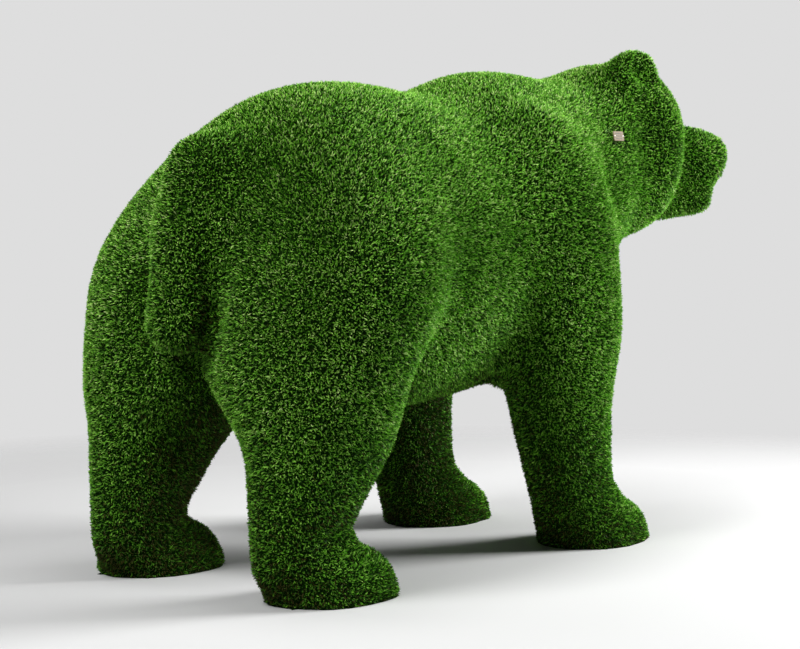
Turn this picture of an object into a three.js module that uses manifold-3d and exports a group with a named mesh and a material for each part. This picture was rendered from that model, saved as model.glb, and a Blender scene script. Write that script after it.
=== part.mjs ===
// A life-size standing bear, a moulded shell covered all over with short artificial turf, with a small
// plain tag on the right side of its neck. The solid's skin is where the tips of the turf come to.
// X runs forward to the nose, Y to the bear's left and Z up. The origin is on the floor, under the
// middle of the figure's box.
import * as THREE from 'three';
import { mergeVertices } from 'three/addons/utils/BufferGeometryUtils.js';
import Module from 'manifold-3d';

// Driving dimensions, mm
const HEIGHT = 1530; // from the floor to the tops of the ears
const TAG_WIDTH = 44;
const TAG_HEIGHT = 30;
const TAG_THICKNESS = 4;
const TAG_CORNER = 3;
const TAG_PROUD = 1.5; // how far the tag's face stands out of the turf
const TAG_UPRIGHT = 0.5; // 0 lies along the neck's slope, 1 stands upright
const FIT_GAP = 0.3; // between the tag and its recess

// The figure keeps its proportions: every size of its forms is given in thousandths of HEIGHT.
const share = (thousandths) => (thousandths * HEIGHT) / 1000;
const shares = (list) => list.map(share);

// The tag's place on the neck, and the way it is found: straight in from the bear's right
const TAG_FORWARD = share(503);
const TAG_UP = share(811);

// The net that the skin is drawn on is finer at the head, the tail and along the middle than elsewhere.
const REACH = { back: share(650), front: share(960), side: share(435), top: share(1040) };
const ROUND_TAIL = { from: -share(440), step: share(26) };
const ROUND_HEAD = { from: share(560), step: share(23) };
const ALONG_MIDDLE = { side: share(110), step: share(25) };
const HIGH_UP = { from: share(640), step: share(28) };
const COARSE_STEP = share(38);
const CAP = share(30); // how far the legs run on below the floor before they are cut off flush with it

// Colours
const TURF_GREEN = 0x2f7d1f;
const TAG_TAN = 0xb9a48c;

// Fields: each form is a function of a point that is below zero inside the form, and near its surface
// is about the distance to it.

function smoothMin(a, b, width) {
  const near = Math.max(width - Math.abs(a - b), 0) / width;
  return Math.min(a, b) - (near * near * width) / 4;
}

function ellipsoid(centre, radii) {
  const [cx, cy, cz] = shares(centre);
  const [rx, ry, rz] = shares(radii);
  return (x, y, z) => {
    const [px, py, pz] = [(x - cx) / rx, (y - cy) / ry, (z - cz) / rz];
    const reach = Math.hypot(px, py, pz);
    const slope = Math.hypot(px / rx, py / ry, pz / rz);
    return slope > 0 ? (reach * (reach - 1)) / slope : -Math.min(rx, ry, rz);
  };
}

// Two balls and the cone that wraps them; width widens or narrows the form across Y.
function roundCone(from, fromRadius, to, toRadius, width = 1) {
  const squeeze = new THREE.Vector3(1, 1 / width, 1);
  const start = new THREE.Vector3(...shares(from)).multiply(squeeze);
  const axis = new THREE.Vector3(...shares(to)).multiply(squeeze).sub(start);
  const [r1, r2] = shares([fromRadius, toRadius]);
  const length2 = axis.lengthSq();
  const taper = r1 - r2;
  const flank2 = length2 - taper * taper;
  const p = new THREE.Vector3();
  const scale = Math.min(1, width);
  return (x, y, z) => {
    p.set(x, y / width, z).sub(start);
    const along = p.dot(axis);
    const past = along - length2;
    const off2 = p.multiplyScalar(length2).addScaledVector(axis, -along).lengthSq();
    const split = Math.sign(taper) * taper * taper * off2;
    let distance;
    if (Math.sign(past) * flank2 * past * past * length2 > split) {
      distance = Math.sqrt(off2 + past * past * length2) / length2 - r2;
    } else if (Math.sign(along) * flank2 * along * along * length2 < split) {
      distance = Math.sqrt(off2 + along * along * length2) / length2 - r1;
    } else {
      distance = (Math.sqrt((off2 * flank2) / length2) + along * taper) / length2 - r1;
    }
    return distance * scale;
  };
}

// Joins forms with a fillet; its width is a number, or a function of the height above the floor.
function blend(width, ...forms) {
  const widthAt = typeof width === 'function' ? width : () => share(width);
  return (x, y, z) => {
    const fillet = widthAt(z);
    return forms.map((form) => form(x, y, z)).reduce((a, b) => smoothMin(a, b, fillet));
  };
}

// Takes cutters out of a form, with rounded edges.
function carve(width, form, ...cutters) {
  const edge = share(width);
  return (x, y, z) =>
    cutters.reduce((value, cutter) => -smoothMin(-value, cutter(x, y, z), edge), form(x, y, z));
}

// A form given on the left side, also on the right side of the plane at middle.
function mirrored(form, middle = 0) {
  const plane = share(middle);
  return (x, y, z) => form(x, plane + Math.abs(y - plane), z);
}

// A form moved to a place and turned there: yaw to the left, pitch nose up, roll to the right, degrees.
function placed([x0, y0, z0], { yaw = 0, pitch = 0, roll = 0 }, form) {
  const turn = new THREE.Euler(...[roll, -pitch, yaw].map(THREE.MathUtils.degToRad), 'ZYX');
  const back = new THREE.Matrix4()
    .makeRotationFromEuler(turn)
    .setPosition(...shares([x0, y0, z0]))
    .invert();
  const p = new THREE.Vector3();
  return (x, y, z) => {
    p.set(x, y, z).applyMatrix4(back);
    return form(p.x, p.y, p.z);
  };
}

// Fillet width that grows from low at the knees to high at the back
const KNEE_LEVEL = share(366);
const BACK_LEVEL = share(660);
function growing(low, high) {
  return (z) => share(THREE.MathUtils.mapLinear(
    THREE.MathUtils.clamp(z, KNEE_LEVEL, BACK_LEVEL), KNEE_LEVEL, BACK_LEVEL, low, high));
}

const ORIGIN = [0, 0, 0];

function torsoForm() {
  const pelvis = ellipsoid([-211, 0, 598], [258, 266, 261]);
  const barrel = ellipsoid([-38, 0, 584], [396, 292, 304]);
  const chest = ellipsoid([256, 0, 603], [260, 215, 274]);
  const hump = ellipsoid([310, 0, 794], [154, 147, 131]);
  return blend(136, pelvis, barrel, chest, hump);
}

// The thigh leans back over the hock; the boot-like foot has no toes.
function hindLegForm() {
  const thigh = placed([-321, 145, 518], { pitch: -29.7 }, ellipsoid(ORIGIN, [189, 230, 270]));
  const shank = roundCone([-380, 203, 307], 144, [-456, 205, 77], 76, 0.86);
  const heel = ellipsoid([-404, 218, 6], [89, 98, 120]);
  const toe = ellipsoid([-339, 218, 5], [98, 99, 90]);
  return blend(30, blend(80, thigh, shank), blend(39, heel, toe));
}

function foreLegForm() {
  const shoulder = placed([284, 184, 577], { pitch: 14 }, ellipsoid(ORIGIN, [154, 130, 277]));
  const arm = roundCone([275, 205, 388], 127, [337, 205, 85], 91, 0.835);
  const heel = ellipsoid([379, 205, 7], [92, 102, 127]);
  const toe = ellipsoid([448, 205, 6], [95, 91, 88]);
  return blend(39, blend(80, shoulder, arm), blend(39, heel, toe));
}

// A long thick tail lies in the cleft between the buttocks and ends in a round tip above the crotch.
function tailForm() {
  const root = roundCone([-451, 0, 721], 73, [-488, 0, 612], 67);
  const rod = roundCone([-488, 0, 612], 67, [-523, 0, 468], 58);
  return { root, rod: blend(26, root, rod) };
}

// The ear's face, along its own X, is hollowed like a shallow bowl.
function earForm() {
  const disc = ellipsoid(ORIGIN, [42, 60, 67]);
  const bowl = ellipsoid([50, 0, 0], [44, 40, 44]);
  return carve(14, disc, bowl);
}

// In the head's own frame: X to the nose, Y to its left, Z up
function headForm() {
  const skull = ellipsoid([-12, 0, 0], [118, 134, 134]);
  const cheek = mirrored(ellipsoid([-10, 56, -80], [83, 75, 123]));
  const mask = ellipsoid([31, 0, -21], [77, 162, 161]);
  const eyeHollow = mirrored(ellipsoid([113, 62, 22], [28, 25, 22]));
  const face = carve(16, blend(30, skull, cheek, mask), eyeHollow);
  const snout = roundCone([79, 0, -25], 74, [172, 0, -35], 71, 0.84);
  const jaw = roundCone([73, 0, -123], 52, [165, 0, -115], 44, 1);
  const nose = ellipsoid([213, 0, -17], [27, 36, 31]);
  const muzzle = blend(26, blend(23, snout, jaw), nose);
  const ear = mirrored(placed([-28, 105, 111], { yaw: 75, roll: 11.5 }, earForm()));
  return blend(18, blend(12, face, muzzle), ear);
}

function bearForm() {
  const trunk = torsoForm();
  const onHindLegs = blend(growing(39, 78), trunk, mirrored(hindLegForm()));
  const onAllFours = blend(growing(22, 100), onHindLegs, mirrored(foreLegForm()));
  const cleft = roundCone([-581, 0, 652], 80, [-597, 0, 474], 116, 1.1);
  const body = carve(50, onAllFours, cleft);

  const neck = roundCone([460, -17, 707], 209, [633, -31, 816], 154);
  const neckFold = mirrored(roundCone([493, 188, 879], 30, [428, 247, 719], 33), -20);
  const withNeck = carve(62, blend(98, body, neck), neckFold);

  const HEAD_AT = [701, -69, 813];
  const HEAD_TURN = { yaw: -28.6, pitch: -2.4, roll: -5.9 };
  const temple = mirrored(roundCone([-13, 171, 39], 20, [-20, 190, -72], 23));
  const withHead = carve(39,
    blend(66, withNeck, placed(HEAD_AT, HEAD_TURN, headForm())),
    placed(HEAD_AT, HEAD_TURN, temple));

  const { root, rod } = tailForm();
  return blend(14, blend(growing(14, 72), withHead, root), rod);
}

// Grid lines from start on, through stretches that each have an end and about one step
function gridLines(start, ...stretches) {
  const lines = [start];
  for (const [end, step] of stretches) {
    const from = lines.at(-1);
    const count = Math.max(1, Math.round((end - from) / step));
    for (let i = 1; i <= count; i += 1) lines.push(from + ((end - from) * i) / count);
  }
  return lines;
}

// Cell corners as bits: 1 is one step along X, 2 along Y, 4 along Z. An edge has a code of its own, from
// its lower corner and its axis.
const CORNERS = [0, 1, 2, 3, 4, 5, 6, 7];
const EDGES = CORNERS.flatMap((corner) => [0, 1, 2]
  .filter((axis) => !(corner & (1 << axis)))
  .map((axis) => ({ from: corner, to: corner | (1 << axis), code: 3 * corner + axis })));
const edgeCode = (p, q) => 3 * Math.min(p, q) + Math.log2(p ^ q);
const FACES = [0, 1, 2].flatMap((axis) => [0, 1 << axis].map((base) => {
  const [u, w] = [1 << ((axis + 1) % 3), 1 << ((axis + 2) % 3)];
  return [base, base | u, base | u | w, base | w];
}));

// The cut edges of a cell, as one list for each sheet of the skin that passes through it
function sheetsOf(inside) {
  const cut = EDGES.filter(({ from, to }) => inside[from] !== inside[to]);
  const sheet = new Map(cut.map(({ code }) => [code, code]));
  const join = (p, q) => {
    const [kept, lost] = [sheet.get(p), sheet.get(q)];
    for (const [code, label] of sheet) if (label === lost) sheet.set(code, kept);
  };
  for (const ring of FACES) {
    const codes = ring.map((corner, n) => edgeCode(corner, ring[(n + 1) % 4]));
    const crossed = codes.filter((code) => sheet.has(code));
    if (crossed.length === 2) join(...crossed);
    if (crossed.length === 4) {
      ring.forEach((corner, n) => inside[corner] && join(codes[n], codes[(n + 3) % 4]));
    }
  }
  const labels = [...new Set(sheet.values())];
  return labels.map((label) => cut.filter(({ code }) => sheet.get(code) === label));
}

// A closed skin through the zero level of a field: one vertex for each sheet in each cell, and one pair
// of triangles across each grid edge that the skin cuts.
function skinOf(field, xs, ys, zs) {
  const [nx, ny, nz] = [xs.length, ys.length, zs.length];
  const index = (i, j, k) => (k * ny + j) * nx + i;
  const values = new Float64Array(nx * ny * nz);
  const overGrid = (first, visit) => {
    for (let k = first; k < nz - 1; k += 1) {
      for (let j = first; j < ny - 1; j += 1) {
        for (let i = first; i < nx - 1; i += 1) visit(i, j, k);
      }
    }
  };
  zs.forEach((z, k) => ys.forEach((y, j) => xs.forEach((x, i) => {
    values[index(i, j, k)] = field(x, y, z);
  })));

  const positions = [];
  const vertexOf = new Map();
  overGrid(0, (i, j, k) => {
    const steps = CORNERS.map((corner) => [i + (corner & 1), j + ((corner >> 1) & 1), k + (corner >> 2)]);
    const level = steps.map((step) => values[index(...step)]);
    const inside = level.map((value) => value < 0);
    if (inside.every((side) => side === inside[0])) return;
    const at = steps.map(([a, b, c]) => new THREE.Vector3(xs[a], ys[b], zs[c]));
    for (const edges of sheetsOf(inside)) {
      const middle = new THREE.Vector3();
      for (const { from, to } of edges) {
        middle.add(at[from].clone().lerp(at[to], level[from] / (level[from] - level[to])));
      }
      middle.divideScalar(edges.length);
      settle(field, middle, at[7].distanceTo(at[0]) / 4);
      for (const { code } of edges) vertexOf.set(24 * index(i, j, k) + code, positions.length / 3);
      positions.push(middle.x, middle.y, middle.z);
    }
  });

  const triangles = [];
  const addQuad = (i, j, k, axis) => {
    const step = (n) => [0, 1, 2].map((other) => Number(other === n));
    const [along, u, w] = [step(axis), step((axis + 1) % 3), step((axis + 2) % 3)];
    const inside = values[index(i, j, k)] < 0;
    if (inside === values[index(i + along[0], j + along[1], k + along[2])] < 0) return;
    const ring = [[1, 1], [0, 1], [0, 0], [1, 0]].map(([m, n]) => {
      const back = [0, 1, 2].map((other) => m * u[other] + n * w[other]);
      const corner = back[0] + 2 * back[1] + 4 * back[2];
      return vertexOf.get(24 * index(i - back[0], j - back[1], k - back[2]) + 3 * corner + axis);
    });
    const [a, b, c, d] = inside ? ring : ring.reverse();
    triangles.push(a, b, c, a, c, d);
  };
  overGrid(1, (i, j, k) => [0, 1, 2].forEach((axis) => addQuad(i, j, k, axis)));

  const geometry = new THREE.BufferGeometry();
  geometry.setAttribute('position', new THREE.Float32BufferAttribute(positions, 3));
  geometry.setIndex(triangles);
  return geometry;
}

// The field's slope at a point, which points outwards
function slopeAt(field, { x, y, z }) {
  const h = share(1);
  return new THREE.Vector3(
    field(x + h, y, z) - field(x - h, y, z),
    field(x, y + h, z) - field(x, y - h, z),
    field(x, y, z + h) - field(x, y, z - h),
  ).divideScalar(2 * h);
}

// Moves a point onto the zero level, by no more than limit in all.
function settle(field, point, limit) {
  const start = point.clone();
  for (let pass = 0; pass < 3; pass += 1) {
    const slope = slopeAt(field, point);
    point.addScaledVector(slope, -field(point.x, point.y, point.z) / Math.max(slope.lengthSq(), 0.2));
  }
  point.sub(start).clampLength(0, limit).add(start);
}

const wasm = await Module();
wasm.setup();

function toSolid(geometry, matrix = new THREE.Matrix4()) {
  const bare = geometry.clone().applyMatrix4(matrix);
  bare.deleteAttribute('normal');
  bare.deleteAttribute('uv');
  const merged = mergeVertices(bare);
  const vertProperties = new Float32Array(merged.attributes.position.array);
  const triVerts = new Uint32Array(merged.index.array);
  return new wasm.Manifold(new wasm.Mesh({ numProp: 3, vertProperties, triVerts }));
}

function toGeometry(solid) {
  const { vertProperties, triVerts } = solid.getMesh();
  const geometry = new THREE.BufferGeometry();
  geometry.setAttribute('position', new THREE.Float32BufferAttribute(vertProperties, 3));
  geometry.setIndex([...triVerts]);
  return geometry;
}

// The whole skin, with the legs run on to just below the floor and capped there
function wholeSkin(form) {
  const capped = (x, y, z) => Math.max(form(x, y, z), -CAP - z);
  return skinOf(capped,
    gridLines(-REACH.back, [ROUND_TAIL.from, ROUND_TAIL.step], [ROUND_HEAD.from, COARSE_STEP],
      [REACH.front, ROUND_HEAD.step]),
    gridLines(-REACH.side, [-ALONG_MIDDLE.side, COARSE_STEP], [ALONG_MIDDLE.side, ALONG_MIDDLE.step],
      [REACH.side, COARSE_STEP]),
    gridLines(-CAP - 1.5 * COARSE_STEP, [HIGH_UP.from, COARSE_STEP], [REACH.top, HIGH_UP.step]));
}

// Everything below the floor, as a block that takes in the whole figure's plan
function belowFloor() {
  const length = REACH.back + REACH.front;
  const depth = 3 * (CAP + COARSE_STEP);
  const block = new THREE.BoxGeometry(length, 2 * REACH.side, depth);
  return block.translate((REACH.front - REACH.back) / 2, 0, -depth / 2);
}

// Where the tag lies: a frame on the skin with Z out of the tag's face, X along the neck and Y up it
function tagFrame(form, skin) {
  const target = new THREE.Mesh(skin, new THREE.MeshBasicMaterial({ side: THREE.DoubleSide }));
  const ray = new THREE.Raycaster(
    new THREE.Vector3(TAG_FORWARD, -REACH.side, TAG_UP), new THREE.Vector3(0, 1, 0));
  const point = ray.intersectObject(target)[0].point;
  const slope = slopeAt(form, point);
  const out = slope.setZ(slope.z * (1 - TAG_UPRIGHT)).normalize();
  const along = new THREE.Vector3(0, 0, 1).cross(out).normalize();
  const up = out.clone().cross(along);
  return new THREE.Matrix4().makeBasis(along, up, out).setPosition(point);
}

// A plate with rounded corners, lying on its back at z = 0
function plate(width, height, corner, thickness) {
  const outline = new THREE.Shape();
  const [w, h] = [width / 2, height / 2];
  outline.moveTo(corner - w, -h);
  outline.lineTo(w - corner, -h);
  outline.absarc(w - corner, corner - h, corner, -Math.PI / 2, 0);
  outline.absarc(w - corner, h - corner, corner, 0, Math.PI / 2);
  outline.absarc(corner - w, h - corner, corner, Math.PI / 2, Math.PI);
  outline.absarc(corner - w, corner - h, corner, Math.PI, Math.PI * 1.5);
  return new THREE.ExtrudeGeometry(outline, { depth: thickness, bevelEnabled: false, curveSegments: 4 });
}

const TAG_SUNK = TAG_THICKNESS - TAG_PROUD;

function tagGeometry() {
  return plate(TAG_WIDTH, TAG_HEIGHT, TAG_CORNER, TAG_THICKNESS).translate(0, 0, -TAG_SUNK);
}

// The recess is the tag's own outline with the fit gap all round and behind, open to the outside.
function recessGeometry() {
  const grow = 2 * FIT_GAP;
  const open = TAG_SUNK + FIT_GAP + 3 * TAG_THICKNESS;
  return plate(TAG_WIDTH + grow, TAG_HEIGHT + grow, TAG_CORNER + FIT_GAP, open)
    .translate(0, 0, -TAG_SUNK - FIT_GAP);
}

const form = bearForm();
const skin = wholeSkin(form);
const frame = tagFrame(form, skin);
const bearSolid = toSolid(skin).subtract(toSolid(belowFloor())).subtract(toSolid(recessGeometry(), frame));

const bear = new THREE.Mesh(
  toGeometry(bearSolid),
  new THREE.MeshStandardMaterial({ color: TURF_GREEN, roughness: 0.95, metalness: 0 }),
);
bear.name = 'turf_bear';

const tag = new THREE.Mesh(
  tagGeometry(),
  new THREE.MeshStandardMaterial({ color: TAG_TAN, roughness: 0.6, metalness: 0 }),
);
tag.name = 'neck_tag';
tag.applyMatrix4(frame);

// The figure stands with the middle of its box over the origin.
const figure = new THREE.Group();
figure.add(bear, tag);
const middle = new THREE.Box3().setFromObject(bear).getCenter(new THREE.Vector3());
figure.position.set(-middle.x, -middle.y, 0);

export default figure;
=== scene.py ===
from math import cos, pi, radians, sin

import bmesh
import bpy
import numpy as np
from mathutils import Euler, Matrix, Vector
from mathutils.bvhtree import BVHTree


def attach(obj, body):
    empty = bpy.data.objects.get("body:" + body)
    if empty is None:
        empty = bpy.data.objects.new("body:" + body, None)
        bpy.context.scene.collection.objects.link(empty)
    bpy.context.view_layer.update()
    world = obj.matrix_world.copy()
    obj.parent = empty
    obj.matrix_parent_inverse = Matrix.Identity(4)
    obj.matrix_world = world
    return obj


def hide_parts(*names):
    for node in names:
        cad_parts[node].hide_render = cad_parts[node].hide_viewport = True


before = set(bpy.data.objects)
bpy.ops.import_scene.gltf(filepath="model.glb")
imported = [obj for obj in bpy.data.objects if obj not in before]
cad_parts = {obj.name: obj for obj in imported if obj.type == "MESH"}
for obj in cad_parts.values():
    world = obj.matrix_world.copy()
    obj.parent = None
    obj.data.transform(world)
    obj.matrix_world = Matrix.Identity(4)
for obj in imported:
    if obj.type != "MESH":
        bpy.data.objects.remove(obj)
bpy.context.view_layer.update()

# Camera, in metres and degrees, where the photograph was taken from
CAMERA_PLACE = (-4.5505, -3.854, 1.0)
CAMERA_HEADING = 41.39
CAMERA_PITCH = 3.2
LENS_MM = 88.97
SENSOR_MM = 36.0

# Turf, in metres and degrees: how deep the backing lies under the tips, and the blades
PILE = 0.0115
BLADES_PER_M2 = 50000
BLADE_WIDTH = 0.0034
BLADE_LENGTH = 0.0155
BLADE_CURL = 0.003
SHORTEST_BLADE = 0.62
LEAST_LEAN = 3
MOST_LEAN = 40
MOST_TWIST = 50
ROOT_DEPTH = 0.0015
TUFTS_PER_METRE = 75.0
TUFT_DEPTH = 0.55
TUFT_LEVEL = 0.62
LONGEST_IN_TUFT = 1.08
LOWEST_TIP = 0.003
FLOOR_BAND = 0.0035
CREASE_ANGLE = 50

# Turf round the tag: share of the blades' length left there, how far that reaches, and the backing
UNDER_TAG = 0.4
TAG_CLEARING = 0.040
RECESS_REACH = 0.002
PRESS_REACH = 0.045
PRESS_SLOPE = 0.12

# A blade's tone from 0 to 1: its least, and how much each cause adds or takes. Tufts, facing upwards and
# open air add painted light and painted shade to it.
LEAST_TONE = 0.06
CHANCE_IN_TONE = 0.74
PATCHES_IN_TONE = 0.35
TUFT_LIGHT_AND_SHADE = 0.9
TONE_WIDTH = 0.012
PAINTED_LIGHT_ABOVE = 0.02
PAINTED_SHADE_BY_OPENNESS = 0.8

# Open air over the skin: how far its rays reach, how many there are, and the share that changes nothing.
# Blades in closed folds get painted shade from it, and blades in the open painted light.
OPEN_REACH = 0.55
OPEN_RAYS = 18
EVEN_OPENNESS = 0.88

# The skin is cut across at these places along the body, so that each stretch of turf is one piece
STRETCHES = {
    "turf_rump": (-2.0, -0.82),
    "turf_thighs": (-0.82, -0.405),
    "turf_barrel": (-0.405, 0.115),
    "turf_shoulders": (0.115, 0.425),
    "turf_head_and_neck": (0.425, 2.0),
}

# Tag, in metres, and shares of its length
STROKE_HEIGHT = 0.0004
STROKE_DEPTH = 0.0002
STROKE_WIDTH = 0.0026
STROKE_ROWS = 3
STROKES_IN_ROW = 5
ROW_SHARE = 0.66
SHORTEST_STROKE = 0.55
STROKE_VARIES = 0.4
RIVET_RADIUS = 0.0021
RIVET_HEIGHT = 0.001
RIVET_PLACE = 0.42


def close_recess(work):
    """Takes the tag's recess out of a skin and closes the hole."""
    limits = np.array(TAG_SIZES) / 2 + RECESS_REACH
    spread = [np.abs(np.array(TAG_AXES) @ (np.array(v.co) - TAG_MIDDLE)) for v in work.verts]
    recess = [v for v, away in zip(work.verts, spread) if (away < limits).all()]
    bmesh.ops.delete(work, geom=recess, context="VERTS")
    rim = [edge for edge in work.edges if edge.is_boundary]
    filled = bmesh.ops.holes_fill(work, edges=rim, sides=0)
    bmesh.ops.triangulate(work, faces=filled["faces"])


def merged_copy(node, name):
    """A copy of a CAD node's mesh with its vertices joined, as a new object."""
    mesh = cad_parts[node].data.copy()
    mesh.name = name
    work = bmesh.new()
    work.from_mesh(mesh)
    bmesh.ops.remove_doubles(work, verts=work.verts, dist=1e-6)
    close_recess(work)
    work.normal_update()
    crease = work.edges.layers.float.new("crease_edge")
    for edge in work.edges:
        if len(edge.link_faces) == 2 and edge.calc_face_angle() > radians(CREASE_ANGLE):
            edge[crease] = 1.0
    work.to_mesh(mesh)
    work.free()
    mesh.materials.clear()
    piece = bpy.data.objects.new(name, mesh)
    bpy.context.collection.objects.link(piece)
    return piece


def points_of(mesh):
    """A mesh's vertices as an array."""
    flat = np.empty(3 * len(mesh.vertices))
    mesh.vertices.foreach_get("co", flat)
    return flat.reshape(-1, 3)


def set_points(mesh, points):
    """Moves a mesh's vertices to the rows of an array."""
    mesh.vertices.foreach_set("co", points.ravel())
    mesh.update()


def baked_mesh(piece):
    """The mesh that a piece's modifiers make, on its own."""
    graph = bpy.context.evaluated_depsgraph_get()
    evaluated = piece.evaluated_get(graph)
    return bpy.data.meshes.new_from_object(evaluated, preserve_all_data_layers=True, depsgraph=graph)


def take_mesh(piece, mesh):
    """Gives a piece its finished mesh and drops its modifiers."""
    old = piece.data
    piece.modifiers.clear()
    piece.data = mesh
    mesh.name = piece.name
    bpy.data.meshes.remove(old)


def smooth_skin(name):
    """The CAD skin, rounded by one subdivision that still passes through the CAD's own vertices."""
    piece = merged_copy("turf_bear", name)
    target = points_of(piece.data)
    smoother = piece.modifiers.new("round", "SUBSURF")
    smoother.levels = 1
    smoother.render_levels = 1
    for _ in range(3):
        reached = points_of(baked_mesh(piece))[: len(target)]
        set_points(piece.data, points_of(piece.data) + 0.9 * (target - reached))
    take_mesh(piece, baked_mesh(piece))
    return piece


def sink(piece, depth):
    """Moves a skin inwards along its normals, and leaves its soles on the floor."""
    mesh = piece.data
    points = points_of(mesh)
    flat = np.empty(3 * len(points))
    mesh.vertices.foreach_get("normal", flat)
    sunk = points - depth * flat.reshape(-1, 3)
    on_floor = points[:, 2] < FLOOR_BAND / 4
    sunk[on_floor, 2] = 0.0
    sunk[:, 2] = np.maximum(sunk[:, 2], 0.0)
    set_points(mesh, sunk)


def store_openness(piece):
    """Stores how much of the air over each point lies open, from 0 in a closed fold to 1, which paints
    shade into the blades in folds and light into those in the open.
    """
    mesh = piece.data
    points = [vertex.co.copy() for vertex in mesh.vertices]
    walls = BVHTree.FromPolygons(points, [tuple(polygon.vertices) for polygon in mesh.polygons])
    rays = []
    for index in range(OPEN_RAYS):
        height = 1 - (2 * index + 1) / OPEN_RAYS
        turn = index * pi * (3 - 5**0.5)
        across = (1 - height * height) ** 0.5
        rays.append(Vector((across * cos(turn), across * sin(turn), height)))
    shares = np.empty(len(points))
    for index, vertex in enumerate(mesh.vertices):
        normal = vertex.normal
        start = points[index] + normal * PILE
        free = 0
        for ray in rays:
            aim = (ray + 1.05 * normal).normalized()
            over_floor = start.z + aim.z * OPEN_REACH > 0
            if over_floor and walls.ray_cast(start, aim, OPEN_REACH)[0] is None:
                free += 1
        shares[index] = free / OPEN_RAYS
    mesh.attributes.new("openness", "FLOAT", "POINT").data.foreach_set("value", shares)


def tag_frame():
    """The tag plate's middle, its axes (along, up, out) and its sizes along them."""
    points = points_of(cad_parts["neck_tag"].data)
    middle = (points.min(0) + points.max(0)) / 2
    spread = np.unique(points.round(7), axis=0) - middle
    along, up, out = np.linalg.svd(spread, full_matrices=False)[2]
    if out[1] > 0:
        out = -out
    if up[2] < 0:
        up = -up
    along = np.cross(up, out)
    sizes = [2 * abs(spread @ axis).max() for axis in (along, up, out)]
    return middle, (along, up, out), sizes


TAG_MIDDLE, TAG_AXES, TAG_SIZES = tag_frame()


def press_round_tag(piece):
    """Presses the backing down to the tag's back round the tag, so that it never covers the face."""
    points = points_of(piece.data)
    along, up, out = TAG_AXES
    offset = points - TAG_MIDDLE
    beside = np.maximum(abs(offset @ along) - TAG_SIZES[0] / 2, 0.0)
    above = np.maximum(abs(offset @ up) - TAG_SIZES[1] / 2, 0.0)
    away = np.hypot(beside, above)
    rise = offset @ out
    ceiling = PRESS_SLOPE * away - TAG_SIZES[2] / 2
    raised = (away < PRESS_REACH) & (abs(rise) < PRESS_REACH) & (rise > ceiling)
    points[raised] -= np.outer((rise - ceiling)[raised], out)
    set_points(piece.data, points)


class Tree:
    """A node tree with short ways to add and join nodes."""

    def __init__(self, tree):
        self.tree = tree

    def add(self, kind, inputs=None, **settings):
        node = self.tree.nodes.new(kind)
        for key, value in settings.items():
            setattr(node, key, value)
        for key, value in (inputs or {}).items():
            self.feed(node.inputs[key], value)
        return node

    def feed(self, socket, value):
        if isinstance(value, bpy.types.NodeSocket):
            self.tree.links.new(value, socket)
        else:
            socket.default_value = value

    def maths(self, operation, *values):
        node = self.tree.nodes.new("ShaderNodeMath")
        node.operation = operation
        for socket, value in zip(node.inputs, values):
            self.feed(socket, value)
        return node.outputs[0]

    def vectors(self, operation, *values):
        node = self.tree.nodes.new("ShaderNodeVectorMath")
        node.operation = operation
        for socket, value in zip(node.inputs, values):
            self.feed(socket, value)
        return node.outputs["Value" if operation in ("DOT_PRODUCT", "LENGTH", "DISTANCE") else 0]

    def between(self, low, high, seed, kind="FLOAT"):
        node = self.tree.nodes.new("FunctionNodeRandomValue")
        node.data_type = kind
        sockets = [s for s in node.inputs if s.enabled]
        self.feed(sockets[0], low)
        self.feed(sockets[1], high)
        self.feed(sockets[-1], seed)
        return next(s for s in node.outputs if s.enabled)


INPUTS = {
    "From": ("NodeSocketFloat", 0.0),
    "To": ("NodeSocketFloat", 1.0),
    "Blades Per Square Metre": ("NodeSocketFloat", BLADES_PER_M2),
    "Blade Width": ("NodeSocketFloat", BLADE_WIDTH),
    "Blade Length": ("NodeSocketFloat", BLADE_LENGTH),
    "Blade Curl": ("NodeSocketFloat", BLADE_CURL),
    "Shortest Blade": ("NodeSocketFloat", SHORTEST_BLADE),
    "Least Lean": ("NodeSocketFloat", radians(LEAST_LEAN)),
    "Most Lean": ("NodeSocketFloat", radians(MOST_LEAN)),
    "Most Twist": ("NodeSocketFloat", radians(MOST_TWIST)),
    "Tufts Per Metre": ("NodeSocketFloat", TUFTS_PER_METRE),
    "Tuft Depth": ("NodeSocketFloat", TUFT_DEPTH),
    "Tag Middle": ("NodeSocketVector", tuple(TAG_MIDDLE)),
    "Tag Along": ("NodeSocketVector", tuple(TAG_AXES[0])),
    "Tag Up": ("NodeSocketVector", tuple(TAG_AXES[1])),
    "Tag Length": ("NodeSocketFloat", TAG_SIZES[0] + TAG_CLEARING),
    "Tag Height": ("NodeSocketFloat", TAG_SIZES[1] + TAG_CLEARING),
    "Length Under Tag": ("NodeSocketFloat", UNDER_TAG),
    "Seed": ("NodeSocketInt", 0),
    "Material": ("NodeSocketMaterial", None),
}


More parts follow.
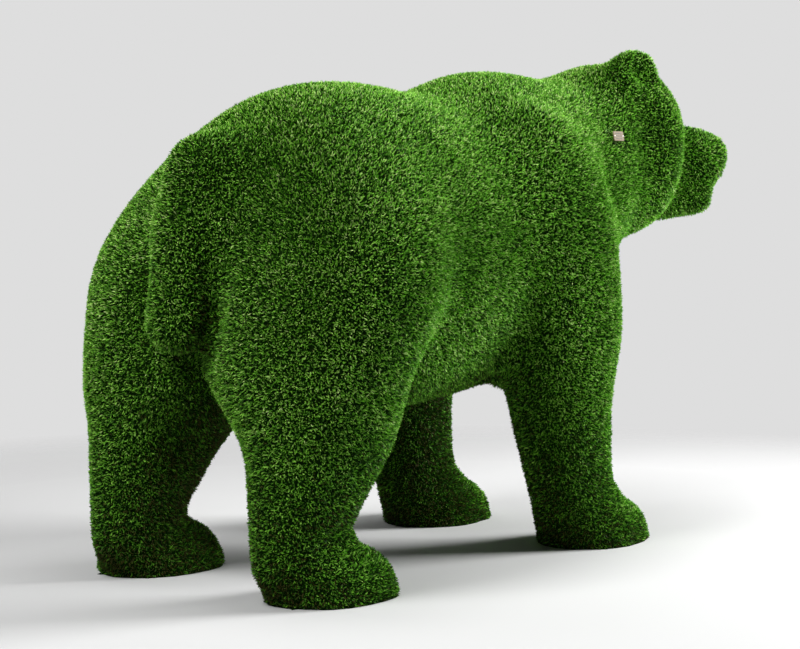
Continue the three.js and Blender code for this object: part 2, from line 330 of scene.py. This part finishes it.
def blade_shape(t, given):
    """One blade as a narrow kite that curls over, with how far along it each corner lies."""
    circle = t.add("GeometryNodeMeshCircle", {"Vertices": 4, "Radius": 1.0}, fill_type="NGON")
    corner = t.add("ShaderNodeSeparateXYZ", {0: t.add("GeometryNodeInputPosition").outputs[0]})
    along = t.maths("MULTIPLY", t.maths("ADD", corner.outputs[0], 1.0), 0.5)
    side = t.maths("MULTIPLY", corner.outputs[1], 0.5)
    kept = circle.outputs[0]
    for name, value in (("along", along), ("side", side)):
        store = t.add("GeometryNodeStoreNamedAttribute", {"Geometry": kept, "Name": name, "Value": value})
        kept = store.outputs[0]
    along_read = t.add("GeometryNodeInputNamedAttribute", {"Name": "along"}, data_type="FLOAT").outputs[0]
    side_read = t.add("GeometryNodeInputNamedAttribute", {"Name": "side"}, data_type="FLOAT").outputs[0]
    height = t.maths("SUBTRACT", t.maths("MULTIPLY", along_read, given["Blade Length"]), ROOT_DEPTH)
    across = t.maths("MULTIPLY", side_read, given["Blade Width"])
    droop = t.maths("MULTIPLY", t.maths("MULTIPLY", along_read, along_read), given["Blade Curl"])
    place = t.add("ShaderNodeCombineXYZ", {0: across, 1: t.maths("MULTIPLY", droop, -1.0), 2: height})
    return t.add("GeometryNodeSetPosition", {"Geometry": kept, "Position": place.outputs[0]}).outputs[0]


def tone_of(t, position, normal, tuft):
    """A blade's tone from 0, dark, to 1, pale: chance and broad patches, with painted shade in the hollows
    between tufts and in closed folds, and painted light on raised tufts, on upward-facing blades and in
    the open.
    """
    broad = t.add("ShaderNodeTexNoise", {"Vector": position, "Scale": 5.0, "Detail": 2.0})
    chance = t.between(0.0, CHANCE_IN_TONE, 11)
    patches = t.maths("MULTIPLY", t.maths("SUBTRACT", broad.outputs[0], 0.5), PATCHES_IN_TONE)
    # painted light: blades that face upwards are a little paler
    upwards = t.add("ShaderNodeSeparateXYZ", {0: normal}).outputs[2]
    open_air = t.add("GeometryNodeInputNamedAttribute", {"Name": "openness"}, data_type="FLOAT").outputs[0]
    # painted shade in closed folds and painted light in the open, by the share of open air
    shade_by_openness = t.maths("MULTIPLY", t.maths("SUBTRACT", open_air, EVEN_OPENNESS), PAINTED_SHADE_BY_OPENNESS)
    paler = t.maths("ADD", t.maths("MULTIPLY", upwards, PAINTED_LIGHT_ABOVE), shade_by_openness)
    # painted shade in the sunk hollows between tufts and painted light on the raised tufts
    tufts = t.maths("MULTIPLY", t.maths("SUBTRACT", tuft, 0.5), TUFT_LIGHT_AND_SHADE)
    tone = t.maths("ADD", t.maths("ADD", t.maths("ADD", chance, LEAST_TONE), patches), tufts)
    tone = t.maths("ADD", tone, paler)
    return t.maths("MINIMUM", t.maths("MAXIMUM", tone, 0.02), 0.98)


def blade_tree():
    """Geometry Nodes that grow blades on a skin between two places along the body."""
    group = bpy.data.node_groups.new("turf_blades", "GeometryNodeTree")
    t = Tree(group)
    group.interface.new_socket("Geometry", in_out="INPUT", socket_type="NodeSocketGeometry")
    group.interface.new_socket("Geometry", in_out="OUTPUT", socket_type="NodeSocketGeometry")
    for name, (kind, value) in INPUTS.items():
        socket = group.interface.new_socket(name, in_out="INPUT", socket_type=kind)
        if value is not None:
            socket.default_value = value
    start = t.add("NodeGroupInput")
    given = {name: start.outputs[name] for name in INPUTS}
    position = t.add("GeometryNodeInputPosition").outputs[0]
    place = t.add("ShaderNodeSeparateXYZ", {0: position})
    inside = t.maths(
        "MULTIPLY",
        t.maths("GREATER_THAN", place.outputs[0], given["From"]),
        t.maths("LESS_THAN", place.outputs[0], given["To"]),
    )
    above_floor = t.maths("GREATER_THAN", place.outputs[2], FLOOR_BAND)
    scatter = t.add(
        "GeometryNodeDistributePointsOnFaces",
        {
            "Mesh": start.outputs["Geometry"],
            "Density": given["Blades Per Square Metre"],
            "Seed": given["Seed"],
        },
    )
    tidy = t.add(
        "GeometryNodeDeleteGeometry",
        {
            "Geometry": scatter.outputs["Points"],
            "Selection": t.maths("LESS_THAN", t.maths("MULTIPLY", inside, above_floor), 0.5),
        },
        domain="POINT",
    )
    from_tag = t.vectors("SUBTRACT", position, given["Tag Middle"])
    in_tag = t.maths("LESS_THAN", t.vectors("LENGTH", from_tag), given["Tag Length"])
    for axis, size in (("Tag Along", "Tag Length"), ("Tag Up", "Tag Height")):
        off = t.maths("ABSOLUTE", t.vectors("DOT_PRODUCT", from_tag, given[axis]))
        half = t.maths("MULTIPLY", given[size], 0.5)
        in_tag = t.maths("MULTIPLY", in_tag, t.maths("LESS_THAN", off, half))
    lost = t.maths("MULTIPLY", in_tag, t.maths("SUBTRACT", 1.0, given["Length Under Tag"]))
    shorter = t.maths("SUBTRACT", 1.0, lost)
    noise = {"Vector": position, "Scale": given["Tufts Per Metre"], "Detail": 1.0}
    tuft = t.add("ShaderNodeTexNoise", noise).outputs[0]
    depth = t.maths("MULTIPLY", given["Tuft Depth"], 2.0)
    sunk = t.maths("MULTIPLY", t.maths("SUBTRACT", TUFT_LEVEL, tuft), depth)
    in_tuft = t.maths("MINIMUM", t.maths("SUBTRACT", 1.0, sunk), LONGEST_IN_TUFT)
    own = t.maths("MULTIPLY", t.between(given["Shortest Blade"], 1.0, 3), in_tuft)
    length = t.maths("MULTIPLY", own, shorter)
    lean = t.between(given["Least Lean"], given["Most Lean"], 5)
    twist_low = t.maths("MULTIPLY", given["Most Twist"], -1.0)
    lean_and_spin = t.add("ShaderNodeCombineXYZ", {0: lean, 2: t.between(0.0, 2 * pi, 7)})
    twist = t.add("ShaderNodeCombineXYZ", {2: t.between(twist_low, given["Most Twist"], 9)})
    turn = scatter.outputs["Rotation"]
    for angles in (lean_and_spin, twist):
        step = t.add("FunctionNodeEulerToRotation", {0: angles.outputs[0]})
        turn = t.add(
            "FunctionNodeRotateRotation",
            {"Rotation": turn, "Rotate By": step.outputs[0]},
            rotation_space="LOCAL",
        ).outputs[0]
    tone = tone_of(t, position, scatter.outputs["Normal"], tuft)
    toned = t.add(
        "GeometryNodeStoreNamedAttribute",
        {"Geometry": tidy.outputs[0], "Name": "tone", "Value": tone},
        domain="POINT",
    )
    grown = t.add(
        "GeometryNodeInstanceOnPoints",
        {
            "Points": toned.outputs[0],
            "Instance": blade_shape(t, given),
            "Rotation": turn,
            "Scale": t.add("ShaderNodeCombineXYZ", {0: 1.0, 1: 1.0, 2: length}).outputs[0],
        },
    )
    real = t.add("GeometryNodeRealizeInstances", {"Geometry": grown.outputs[0]})
    tip = t.add("ShaderNodeSeparateXYZ", {0: t.add("GeometryNodeInputPosition").outputs[0]})
    lifted = t.add(
        "ShaderNodeCombineXYZ",
        {0: tip.outputs[0], 1: tip.outputs[1], 2: t.maths("MAXIMUM", tip.outputs[2], LOWEST_TIP)},
    )
    above = t.add("GeometryNodeSetPosition", {"Geometry": real.outputs[0], "Position": lifted.outputs[0]})
    read = {
        name: t.add("GeometryNodeInputNamedAttribute", {"Name": name}, data_type="FLOAT").outputs[0]
        for name in ("tone", "along", "side")
    }
    across = t.maths("ADD", read["tone"], t.maths("MULTIPLY", read["side"], TONE_WIDTH))
    mapped = t.add(
        "GeometryNodeStoreNamedAttribute",
        {
            "Geometry": above.outputs[0],
            "Name": "OFBake",
            "Value": t.add("ShaderNodeCombineXYZ", {0: across, 1: read["along"]}).outputs[0],
        },
        data_type="FLOAT2",
        domain="CORNER",
    )
    kept = mapped.outputs[0]
    for name in ("tone", "along", "side", "openness"):
        kept = t.add("GeometryNodeRemoveAttribute", {"Geometry": kept, "Name": name}).outputs[0]
    finish = t.add("GeometryNodeSetMaterial", {"Geometry": kept, "Material": given["Material"]})
    t.add("NodeGroupOutput", {0: finish.outputs[0]})
    return group


def grow_turf(tree, skin, name, reach, seed, material):
    """One stretch of blades on the skin, as a plain mesh."""
    piece = bpy.data.objects.new(name, skin.data.copy())
    bpy.context.collection.objects.link(piece)
    grower = piece.modifiers.new("grow", "NODES")
    grower.node_group = tree
    values = {"From": reach[0], "To": reach[1], "Seed": seed, "Material": material}
    sockets = {s.name: s.identifier for s in tree.interface.items_tree if s.in_out == "INPUT"}
    for key, value in values.items():
        grower[sockets[key]] = value
    take_mesh(piece, baked_mesh(piece))
    piece.data.update()
    return piece


def new_material(name, roughness, **values):
    """A material with its own node tree, and its plain values on the shader's own sockets."""
    material = bpy.data.materials.new(name)
    material.use_nodes = True
    t = Tree(material.node_tree)
    shader = material.node_tree.nodes["Principled BSDF"]
    shader.inputs["Roughness"].default_value = roughness
    for key, value in values.items():
        shader.inputs[key.replace("_", " ")].default_value = value
    return material, t, shader


def ramp(t, factor, stops):
    """A colour ramp with (place, colour) stops, and its colour."""
    node = t.add("ShaderNodeValToRGB", {0: factor})
    elements = node.color_ramp.elements
    while len(elements) < len(stops):
        elements.new(0.5)
    for element, (place, colour) in zip(elements, stops):
        element.position = place
        element.color = (*colour, 1.0)
    return node.outputs[0]


def mix(t, factor, first, second, kind="MIX"):
    """Two colours mixed by a factor."""
    node = t.add("ShaderNodeMix", data_type="RGBA", blend_type=kind)
    t.feed(node.inputs[0], factor)
    t.feed(node.inputs[6], first)
    t.feed(node.inputs[7], second)
    return node.outputs[2]


def blade_material():
    """Green blades: each its own tone, with painted shade darker towards the root, where the blades shade
    one another.
    """
    material, t, shader = new_material("green_blades", 0.55, Specular_IOR_Level=0.15)
    spot = t.add("ShaderNodeSeparateXYZ", {0: t.add("ShaderNodeUVMap", uv_map="OFBake").outputs[0]})
    tone = ramp(
        t,
        spot.outputs[0],
        (
            (0.00, (0.100, 0.065, 0.016)),
            (0.06, (0.020, 0.078, 0.004)),
            (0.30, (0.088, 0.300, 0.016)),
            (0.58, (0.245, 0.660, 0.042)),
            (0.82, (0.490, 0.880, 0.150)),
            (1.00, (0.760, 0.960, 0.380)),
        ),
    )
    # painted shade: each blade darker towards its root
    shade = ramp(
        t,
        spot.outputs[1],
        (
            (0.00, (0.08, 0.09, 0.08)),
            (0.35, (0.42, 0.45, 0.40)),
            (0.78, (1.00, 1.00, 1.00)),
        ),
    )
    t.feed(shader.inputs["Base Color"], mix(t, 1.0, tone, shade, "MULTIPLY"))
    return material


def backing_material():
    """The dark woven backing and thatch between the blades."""
    material, t, shader = new_material("dark_backing", 1.0, Specular_IOR_Level=0.0)
    place = t.add("ShaderNodeTexCoord").outputs["Object"]
    thatch = t.add("ShaderNodeTexNoise", {"Vector": place, "Scale": 260.0, "Detail": 3.0})
    colour = ramp(t, thatch.outputs[0], ((0.35, (0.002, 0.007, 0.001)), (0.65, (0.009, 0.030, 0.003))))
    t.feed(shader.inputs["Base Color"], colour)
    bump = t.add("ShaderNodeBump", {"Height": thatch.outputs[0], "Strength": 0.6, "Distance": 0.002})
    t.feed(shader.inputs["Normal"], bump.outputs[0])
    return material


def tag_material():
    """Tan printed plastic with a faint grain and rubbed, paler spots."""
    material, t, shader = new_material("tan_plate", 0.7, Specular_IOR_Level=0.1)
    place = t.add("ShaderNodeTexCoord").outputs["Object"]
    grain = t.add("ShaderNodeTexNoise", {"Vector": place, "Scale": 320.0, "Detail": 4.0})
    colour = ramp(t, grain.outputs[0], ((0.3, (0.19, 0.15, 0.10)), (0.7, (0.26, 0.21, 0.15))))
    t.feed(shader.inputs["Base Color"], colour)
    bump = t.add("ShaderNodeBump", {"Height": grain.outputs[0], "Strength": 0.25, "Distance": 0.0005})
    t.feed(shader.inputs["Normal"], bump.outputs[0])
    return material


def stroke_material():
    """Dull dark ink with worn, browner spots."""
    material, t, shader = new_material("dark_strokes", 0.6)
    place = t.add("ShaderNodeTexCoord").outputs["Object"]
    wear = t.add("ShaderNodeTexNoise", {"Vector": place, "Scale": 500.0, "Detail": 2.0})
    colour = ramp(t, wear.outputs[0], ((0.35, (0.014, 0.009, 0.006)), (0.7, (0.05, 0.035, 0.025))))
    t.feed(shader.inputs["Base Color"], colour)
    return material


def tag_strokes():
    """Rows of short raised bars on the tag's face, which are no letters."""
    along, up, out = (Vector(axis) for axis in TAG_AXES)
    face = Vector(TAG_MIDDLE) + out * (TAG_SIZES[2] / 2)
    chance = np.random.default_rng(4)
    row_length = ROW_SHARE * TAG_SIZES[0]
    work = bmesh.new()
    for row in range(STROKE_ROWS):
        height = (0.5 - (row + 1) / (STROKE_ROWS + 1)) * TAG_SIZES[1]
        for place in range(STROKES_IN_ROW):
            middle = ((place + 0.5) / STROKES_IN_ROW - 0.5) * row_length
            share = SHORTEST_STROKE + STROKE_VARIES * chance.random()
            length = share * row_length / STROKES_IN_ROW
            corners = []
            for depth in (-STROKE_DEPTH, STROKE_HEIGHT):
                for a, b in ((-1, -1), (1, -1), (1, 1), (-1, 1)):
                    spot = face + along * (middle + a * length / 2) + up * (height + b * STROKE_WIDTH / 2)
                    corners.append(work.verts.new(spot + out * depth))
            low, high = corners[:4], corners[4:]
            work.faces.new(reversed(low))
            work.faces.new(high)
            for k in range(4):
                work.faces.new((low[k], low[(k + 1) % 4], high[(k + 1) % 4], high[k]))
    bmesh.ops.recalc_face_normals(work, faces=work.faces)
    mesh = bpy.data.meshes.new("tag_strokes")
    work.to_mesh(mesh)
    work.free()
    piece = bpy.data.objects.new("tag_strokes", mesh)
    bpy.context.collection.objects.link(piece)
    mesh.materials.append(stroke_material())
    return piece


def rivet_material():
    """Bright zinc, dulled in spots."""
    material, t, shader = new_material("bright_zinc", 0.35, Metallic=1.0)
    place = t.add("ShaderNodeTexCoord").outputs["Object"]
    dull = t.add("ShaderNodeTexNoise", {"Vector": place, "Scale": 700.0, "Detail": 2.0})
    colour = ramp(t, dull.outputs[0], ((0.35, (0.50, 0.49, 0.46)), (0.7, (0.75, 0.74, 0.71))))
    t.feed(shader.inputs["Base Color"], colour)
    return material


def tag_rivets():
    """A low round rivet head at each end of the tag."""
    work = bmesh.new()
    bmesh.ops.create_uvsphere(work, u_segments=16, v_segments=8, radius=1.0)
    head = bpy.data.meshes.new("rivet_head")
    work.to_mesh(head)
    work.free()
    ball = points_of(head)
    along, up, out = TAG_AXES
    face = TAG_MIDDLE + out * (TAG_SIZES[2] / 2)
    radii = (RIVET_RADIUS, RIVET_RADIUS, RIVET_HEIGHT)
    work = bmesh.new()
    for side in (-1, 1):
        middle = face + along * (side * RIVET_PLACE * TAG_SIZES[0])
        copy = head.copy()
        shape = sum(np.outer(ball[:, k] * radii[k], TAG_AXES[k]) for k in range(3))
        set_points(copy, middle + shape)
        work.from_mesh(copy)
        bpy.data.meshes.remove(copy)
    bpy.data.meshes.remove(head)
    bmesh.ops.recalc_face_normals(work, faces=work.faces)
    mesh = bpy.data.meshes.new("tag_rivets")
    work.to_mesh(mesh)
    work.free()
    for polygon in mesh.polygons:
        polygon.use_smooth = True
    piece = bpy.data.objects.new("tag_rivets", mesh)
    bpy.context.collection.objects.link(piece)
    mesh.materials.append(rivet_material())
    return piece


def set_camera():
    """The photograph's viewpoint."""
    data = bpy.data.cameras.new("camera")
    data.lens = LENS_MM
    data.sensor_width = SENSOR_MM
    data.sensor_fit = "HORIZONTAL"
    data.clip_end = 100.0
    camera = bpy.data.objects.new("camera", data)
    bpy.context.collection.objects.link(camera)
    camera.location = CAMERA_PLACE
    camera.rotation_euler = Euler((radians(90 - CAMERA_PITCH), 0.0, radians(CAMERA_HEADING - 90)))
    bpy.context.scene.camera = camera


def soft_light(name, right, ahead, height, size, power, aim=(0.0, 0.0, 0.75)):
    """A square soft light, placed to the right of and beyond the figure as the camera sees it."""
    heading = radians(CAMERA_HEADING)
    data = bpy.data.lights.new(name, "AREA")
    data.shape = "SQUARE"
    data.size = size
    data.energy = power
    lamp = bpy.data.objects.new(name, data)
    bpy.context.collection.objects.link(lamp)
    lamp.location = (
        right * sin(heading) + ahead * cos(heading),
        -right * cos(heading) + ahead * sin(heading),
        height,
    )
    lamp.rotation_euler = (Vector(aim) - lamp.location).to_track_quat("-Z", "Y").to_euler()


def set_surroundings(seen, light):
    """An even pale surround, dimmer as a light than as it is seen."""
    world = bpy.data.worlds.new("surround")
    bpy.context.scene.world = world
    world.use_nodes = True
    t = Tree(world.node_tree)
    world.node_tree.nodes.clear()
    lit = t.add("ShaderNodeBackground", {"Color": (1, 1, 1, 1), "Strength": light})
    shown = t.add("ShaderNodeBackground", {"Color": (1, 1, 1, 1), "Strength": seen})
    chooser = t.add("ShaderNodeMixShader", {0: t.add("ShaderNodeLightPath").outputs["Is Camera Ray"]})
    t.feed(chooser.inputs[1], lit.outputs[0])
    t.feed(chooser.inputs[2], shown.outputs[0])
    t.add("ShaderNodeOutputWorld", {0: chooser.outputs[0]})


def make_floor(radius=3.4, fade_from=2.0):
    """A pale floor that melts into the surround towards its rim."""
    bpy.ops.mesh.primitive_circle_add(vertices=96, radius=radius, fill_type="NGON")
    floor = bpy.context.object
    floor.name = "floor"
    material, t, shader = new_material("pale_floor", 0.55)
    shader.inputs["Base Color"].default_value = (0.60, 0.60, 0.60, 1)
    place = t.add("ShaderNodeTexCoord").outputs["Object"]
    away = t.vectors("LENGTH", place)
    fade = t.add("ShaderNodeMapRange", {"Value": away, "From Min": radius, "From Max": fade_from})
    t.feed(shader.inputs["Alpha"], fade.outputs[0])
    floor.data.materials.append(material)


set_camera()

skin = smooth_skin("turf_backing")
sink(skin, PILE)
press_round_tag(skin)
store_openness(skin)
skin.data.materials.append(backing_material())
for polygon in skin.data.polygons:
    polygon.use_smooth = True
skin.data.update()

tree = blade_tree()
green = blade_material()
turf = []
for name, reach in STRETCHES.items():
    turf.append(grow_turf(tree, skin, name, reach, len(turf) + 1, green))
skin.data.attributes.remove(skin.data.attributes["openness"])
for piece in [skin, *turf]:
    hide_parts("turf_bear")
    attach(piece, "root")

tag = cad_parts["neck_tag"]
tag.data.materials.clear()
tag.data.materials.append(tag_material())
for piece in (tag_strokes(), tag_rivets()):
    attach(piece, "root")

make_floor()
set_surroundings(seen=0.73, light=0.05)
soft_light("left_softbox", right=-3.0, ahead=1.0, height=5.0, size=2.5, power=50)
soft_light("right_softbox", right=4.8, ahead=1.0, height=2.5, size=2.2, power=620)
soft_light("top_softbox", right=0.0, ahead=0.0, height=5.5, size=2.2, power=80)
soft_light("front_softbox", right=-2.5, ahead=-3.0, height=5.2, size=2.0, power=275)
bpy.context.scene.view_settings.view_transform = "Standard"
